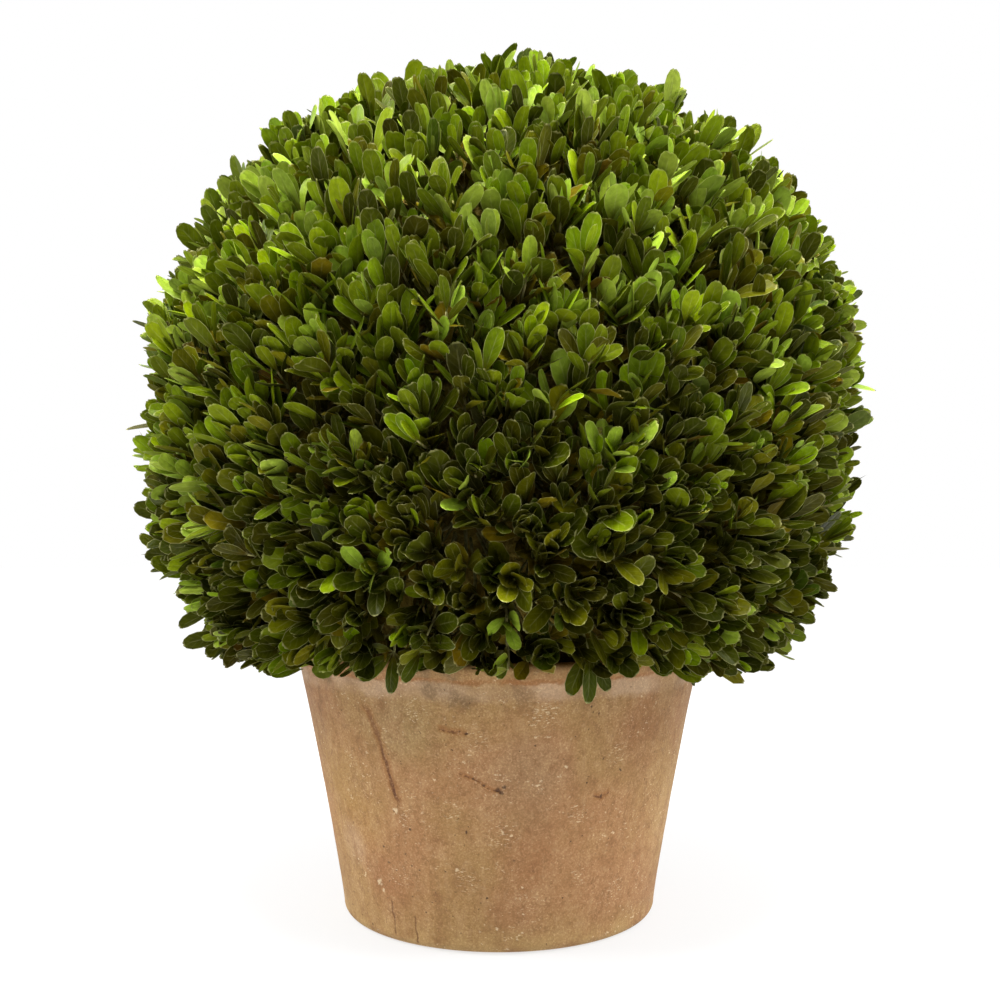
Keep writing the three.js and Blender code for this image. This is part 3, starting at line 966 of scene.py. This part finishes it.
def leafMaterial(name, upper, under):
    material, nodes, shader = newMaterial(name, specular=leaf["sheen"])
    place = nodes.add("ShaderNodeUVMap", {"uv_map": "OFBake"})
    u, v, _ = place.parts()
    margin = leaf["tileMargin"]
    across = ((u * leaf["columns"]).math("FRACT") - 0.5) / (0.5 - margin)
    along = ((v * leaf["tileRows"]).math("FRACT") - margin) / (1 - 2 * margin)
    off = across.math("ABSOLUTE")
    below = v.step(0.4999, 0.5001)
    corner = {0: (u * leaf["columns"]).math("FLOOR"), 1: (v * leaf["tileRows"]).math("FLOOR")}
    tile = nodes.add("ShaderNodeCombineXYZ", {}, corner)
    chance, hue = (  # each tile of the leaf pattern has a brightness and a hue of its own
        nodes.add("ShaderNodeTexWhiteNoise", {"noise_dimensions": "3D"}, {"Vector": tile}, output)
        for output in ("Value", "Color")
    )
    hue = hue.parts()[1]
    mottle = place.noise(24, 3, 0.6)
    fine = place.noise(190, 2, 0.6)

    least, more = leaf["brightness"]
    links = {"Hue": hue * 0.02 + 0.49, "Saturation": 1.0, "Value": chance * more + least}
    tone = nodes.add("ShaderNodeHueSaturation", {}, {**links, "Color": below.mix(upper, under)})
    share, strength = leaf["paleShare"], leaf["strength"]
    pale = tuple((1 - share) * a + share * b for a, b in zip(upper, leaf["paleTone"]))
    vein = ((along * 40.0 - off * 10.0).math("SINE")).step(0.5, 1.0) * (1 - off.step(0.6, 0.9))
    tone = (vein * strength["vein"]).mix(tone, pale)
    midrib = (1 - off.step(0.03, 0.1)) * (1 - along.step(0.7, 0.95))
    tone = (midrib * strength["midrib"]).mix(tone, pale)
    # The pale rim is partly the leaf's own pale margin and partly a painted highlight along its edge
    rim = off.step(0.91, 0.98).math("MAXIMUM", along.step(0.945, 0.985))
    tone = (rim * strength["rim"]).mix(tone, pale)
    # Painted shade: each leaf darker and browner towards its base, deep among the others
    tone = ((1 - along.step(0.0, 0.5)) * strength["base"]).mix(tone, leaf["baseShadeTone"])
    stalk = 1 - along.step(0.04, 0.16)
    tone = (stalk * strength["stalk"]).mix(tone, pale)
    # Random mottling, with painted shade towards the base and painted light that makes one half of each
    # blade lighter than the other
    shade = ((mottle - 0.5) * 1.3 + 1.0) * (along.step(0.05, 0.9) * 0.38 + 0.74)
    tone = tone.scaled(shade * (across * (hue - 0.5) * 0.3 + 1.0))
    relief = fine * 0.25 - (1 - off.step(0.0, 0.45)) * 0.8 - midrib * 0.4 - vein * 0.2
    plug(
        shader,
        Base_Color=tone,
        Roughness=below * 0.3 + mottle * 0.25 + 0.2,
        Normal=bump(relief, 0.5, 0.4 * mm),
    )
    return material


def growSprigs(branchTips):
    rng = np.random.default_rng(sprig["seed"])
    count = sprig["count"]
    out = unit(spiral(count, sprig["lowest"]) + sprig["siteJitter"] * rng.standard_normal((count, 3)))
    surface = ball["centre"] + out * clipRadius(out, rng)[:, None]
    focus = ball["centre"] - np.array([0, 0, ball["focusDrop"]])
    way = unit(surface - focus)
    way = way + sprig["wayJitter"] * rng.standard_normal((count, 3))
    way = way + sprig["waySway"] * np.stack([patches(out, rng) for _ in range(3)], 1)
    low, high = sprig["riseFrom"]
    lifted = np.clip((out[:, 2] - low) / (high - low), 0, 1)
    way[:, 2] += sprig["rise"] * lifted * np.hypot(out[:, 0], out[:, 1])
    way = unit(way)
    depth = sprig["tipDepth"] / np.maximum((way * out).sum(1), sprig["leastFacing"])
    tips = surface - way * depth[:, None]

    nearest = np.argmin(np.linalg.norm(tips[:, None] - branchTips[None], axis=2), axis=1)
    starts = branchTips[nearest]
    middles = tips - way * sprig["straight"]

    side = unit(np.cross(way, (0.0, 0.0, 1.0)) + 1e-6)
    other = np.cross(way, side)
    firstTurn = rng.random(count) * math.pi
    closed = np.clip(sprig["closedFrom"] - out[:, 2], 0, sprig["closedSpan"]) / sprig["closedSpan"]
    opened = np.exp(sprig["openness"] * (1 + closed) * rng.standard_normal(count))
    opened *= 1 - sprig["lowClosed"] * closed
    gathered = []
    for step, below in enumerate(sprig["pairDepth"]):
        root = tips - way * (below * (1 + sprig["pairJitter"] * rng.standard_normal(count)))[:, None]
        for half in (0, math.pi):
            turn = firstTurn + step * math.pi / 2 + half + sprig["turnJitter"] * rng.standard_normal(count)
            outward = np.cos(turn)[:, None] * side + np.sin(turn)[:, None] * other
            angle = sprig["pairAngle"][step] * opened + sprig["angleSpread"] * rng.standard_normal(count)
            angle = np.minimum(angle, sprig["widest"])[:, None]
            leafWay = np.cos(angle) * way + np.sin(angle) * outward
            leafWay[:, 2] += leaf["upTurn"] * rng.random(count)
            leafWay = unit(leafWay)
            face = np.sin(angle) * way - np.cos(angle) * outward
            face[:, 2] += leaf["faceUp"] * rng.random(count)
            face = unit(face - (face * leafWay).sum(1)[:, None] * leafWay)
            roll = (leaf["roll"] * rng.standard_normal(count))[:, None]
            face = np.cos(roll) * face + np.sin(roll) * np.cross(leafWay, face)
            length = sprig["pairLength"][step] * (1 + sprig["lengthSpread"] * rng.standard_normal(count))
            old = np.full(count, step >= sprig["oldPairs"])
            hangs = np.full(count, False)
            gathered.append((root, leafWay, face, length, np.arange(count), old, hangs))
    out, twigs = hangSprigs(out, [starts, middles, tips], branchTips, gathered)
    leaves = [np.concatenate(part) for part in zip(*gathered)]
    kept = (rng.random(len(leaves[0])) > sprig["missing"]) | leaves[-1]
    return out, twigs, [part[kept] for part in leaves]


def hangSprigs(out, twigs, branchTips, gathered):  # the few that droop over the rim in front
    lowInFront = (0, -0.8, -0.6)
    for place, leaves in hanging:
        root = np.array(place) * mm
        start = branchTips[np.argmin(np.linalg.norm(branchTips - root, axis=1))]
        bend = (start + root) / 2 + np.array([0, 0, hangingArch])
        ways = unit(np.array([way for way, _ in leaves], float))
        lengths = np.array([length for _, length in leaves]) * mm
        toFront = unit(root * (1, 1, 0))
        faces = unit(toFront - (ways @ toFront)[:, None] * ways)
        roots = np.repeat(root[None], len(leaves), axis=0)
        owner = np.full(len(leaves), len(out))
        flags = np.full(len(leaves), False), np.full(len(leaves), True)
        gathered.append((roots, ways, faces, lengths, owner, *flags))
        out = np.vstack([out, [lowInFront]])
        twigs = [np.vstack([rows, [point]]) for rows, point in zip(twigs, (start, bend, root))]
    return out, twigs


def dealTints(tints, out, rng):
    names = list(tints)
    low, middle, high = (np.array([tints[name][2][i] for name in names]) for i in range(3))
    height = out[:, 2] + dealing["jitter"] * rng.standard_normal(len(out))
    # Painted shade: the front's middle is dealt the darker tints of lower leaves
    way, strength, narrow = leaf["shadedPatch"]
    height -= strength * np.exp(narrow * (out @ unit(np.array(way)) - 1))
    # Painted light and shade: higher leaves get the brighter tints, lower ones the darker
    upper = np.clip((height - dealing["highFrom"]) / dealing["highSpan"], 0, 1)[:, None]
    lower = np.clip((dealing["lowFrom"] - height) / dealing["lowSpan"], 0, 1)[:, None]
    shares = upper * high + lower * low + (1 - upper - lower) * middle
    shares /= shares.sum(1, keepdims=True)
    clumps = patches(out, rng, fineness=dealing["clumps"])
    draw = dealing["clumping"] * np.tanh(clumps) + rng.random(len(out))
    draw = np.argsort(np.argsort(draw)) / len(out)
    return (draw[:, None] > np.cumsum(shares, 1)).sum(1).clip(0, len(names) - 1)


def placeLeaves(kind, tints, heights, leaves, out, rng):
    roots, ways, faces, lengths, owner, _, hangs = leaves
    template = leafTemplate(heights)
    places = leafPlaces(template, roots, ways, faces, lengths, rng)
    fits = hasRoom(places) & (hangs | overTheBand(places, rng))
    print(f"{fits.sum()} of {len(fits)} {kind} have room")
    tintOfLeaf = dealTints(tints, out, rng)[owner]
    odd = rng.random(len(owner)) < leaf["oddOnes"]
    tintOfLeaf[odd] = dealTints(tints, out[owner[odd]], rng)
    # Painted shade under the ball: the drooping leaves get the darkest green
    if hangs.any():  # those that droop over the rim are dark
        tintOfLeaf[hangs] = list(tints).index("deepGreen")
    for index, (name, (upper, under, _)) in enumerate(tints.items()):
        chosen = fits & (tintOfLeaf == index)
        uv = leafCorners(template, chosen.sum(), rng)
        material = leafMaterial(name, upper, under)
        piece = joinCopies(f"{kind}_{name}", template, places[chosen], material, uv)
        stands(piece, "foliage_ball")


def buildFoliage():
    branchTips = growBoughs()
    out, (starts, middles, tips), leaves = growSprigs(branchTips)
    rng = np.random.default_rng(11)
    old = leaves[5]
    placeLeaves("leaves", tints, leaf["rows"], [part[~old] for part in leaves], out, rng)
    placeLeaves("innerLeaves", oldTints, leaf["plainRows"], [part[old] for part in leaves], out, rng)

    tube = templateOf(ringedTube(4, 4))
    twigs = tubePlaces(tube, starts, middles, tips, sprig["radius"])
    clear = hasRoom(twigs) & (twigs[:, :, 2].min(axis=1) > ball["lowestInFront"])
    print(f"{clear.sum()} of {len(clear)} twigs have room")
    stands(joinCopies("leafyTwigs", tube, twigs[clear], shootMaterial()), "foliage_ball")


# The dense old wood in the middle, which lets no light through
thicket = {
    "radius": 117 * mm,
    "rough": 7 * mm,
    "lowest": 128 * mm,
    "hemRough": 1.5 * mm,
    "dark": colour(114, 95, 34),
    "light": colour(162, 142, 68),
}


def buildThicket():
    bm = bmesh.new()
    bmesh.ops.create_icosphere(bm, subdivisions=6, radius=1)
    for vert in bm.verts:
        way = vert.co.normalized()
        rough = noise.fractal(way * 7, 0.7, 2.1, 5)
        place = Vector(ball["centre"]) + way * (thicket["radius"] + thicket["rough"] * rough)
        place.z = max(place.z, thicket["lowest"] + thicket["hemRough"] * noise.noise(way * 20))
        vert.co = place
    bmesh.ops.recalc_face_normals(bm, faces=bm.faces)
    material, nodes, shader = newMaterial("oldWoodThicket", specular=0.1)
    place = nodes.add("ShaderNodeTexCoord", output=3)
    tangle = place.noise(260, 5, 0.7)
    tone = tangle.step(0.42, 0.7).mix(thicket["dark"], thicket["light"])
    plug(shader, Base_Color=tone, Roughness=1.0 - tangle * 0.1, Normal=bump(tangle, 1.0, 2 * mm))
    return pieceFrom(bm, "innerThicket", material)


stands(buildPot(), "pot")
stands(buildSoil(), "soil")
stands(buildClods(), "soil")
stands(buildStem(), "stem")
buildFoliage()
stands(buildThicket(), "foliage_ball")


# The studio
studio = {  # in metres
    "floorSize": 3.0,
    "floorGap": 0.1 * mm,
    "floor": 0.26,
    "floorGlow": 0.68,
    "fadeFrom": 0.3,  # from here outwards the floor fades into the white surroundings
    "fadeTo": 1.1,
    "skyFront": 0.11,
    "skyTurn": (-1.0, -0.4),  # the sky brightens from front to back between these
    "skyBack": 1.0,
    "lights": {  # place, size, watts
        "topSoftbox": ((-0.05, -0.38, 1.5), 0.75, 44.5),
        "frontKey": ((-0.1, -1.45, 1.1), 0.8, 3.4),
        "leftSoftbox": ((-1.15, -0.2, 1.15), 0.6, 18.0),
        "rightSoftbox": ((1.15, -0.2, 1.15), 0.6, 18.0),
    },
    "aim": (0.0, 0.0, 0.2),
    "lens": 46.94,
    "sensor": 36.0,
    "eye": (0.0, -0.6175, 0.1903),
    "axisColumn": 499,  # the picture's column that the pot's axis falls on
    "pictureSize": 1000,
}


def setStudio():
    bm = bmesh.new()
    bmesh.ops.create_grid(bm, x_segments=1, y_segments=1, size=studio["floorSize"])
    bmesh.ops.translate(bm, verts=bm.verts, vec=(0, 0, -studio["floorGap"]))
    material, nodes, shader = newMaterial("paleFloor", specular=0.1, Roughness=0.9, Emission_Strength=1.0)
    place = nodes.add("ShaderNodeTexCoord", output=3)
    away = nodes.add("ShaderNodeVectorMath", {"operation": "LENGTH"}, {0: place}, "Value")
    fade = away.step(studio["fadeFrom"], studio["fadeTo"])
    glow = fade * (1 - studio["floorGlow"]) + studio["floorGlow"]
    plug(shader, Base_Color=(1 - fade) * studio["floor"], Emission_Color=glow)
    floor = pieceFrom(bm, "floor", material)

    world = bpy.data.worlds.new("studioWhite")
    world.use_nodes = True
    sky = Shade(world.node_tree)
    behind = sky.add("ShaderNodeTexCoord").parts()[1].step(*studio["skyTurn"])
    strength = behind * (studio["skyBack"] - studio["skyFront"]) + studio["skyFront"]
    strength = strength.math("MAXIMUM", sky.add("ShaderNodeLightPath"))  # seen directly, it is all white
    background = world.node_tree.nodes["Background"]
    world.node_tree.links.new(strength.socket, background.inputs["Strength"])
    background.inputs["Color"].default_value = (1.0, 1.0, 1.0, 1.0)
    bpy.context.scene.world = world

    aim = Vector(studio["aim"])
    for name, (place, size, watts) in studio["lights"].items():
        data = bpy.data.lights.new(name, "AREA")
        data.shape = "DISK"
        data.size = size
        data.energy = watts
        light = bpy.data.objects.new(name, data)
        light.location = place
        light.rotation_euler = (aim - Vector(place)).to_track_quat("-Z", "Y").to_euler()
        bpy.context.scene.collection.objects.link(light)

    data = bpy.data.cameras.new("photoCamera")
    data.lens = studio["lens"]
    data.sensor_width = studio["sensor"]
    data.shift_x = (studio["pictureSize"] / 2 - studio["axisColumn"]) / studio["pictureSize"]
    camera = bpy.data.objects.new("photoCamera", data)
    camera.location = studio["eye"]
    camera.rotation_euler = (math.pi / 2, 0, 0)
    bpy.context.scene.collection.objects.link(camera)
    bpy.context.scene.camera = camera
    bpy.context.scene.view_settings.view_transform = "Standard"


setStudio()
print("studio set")
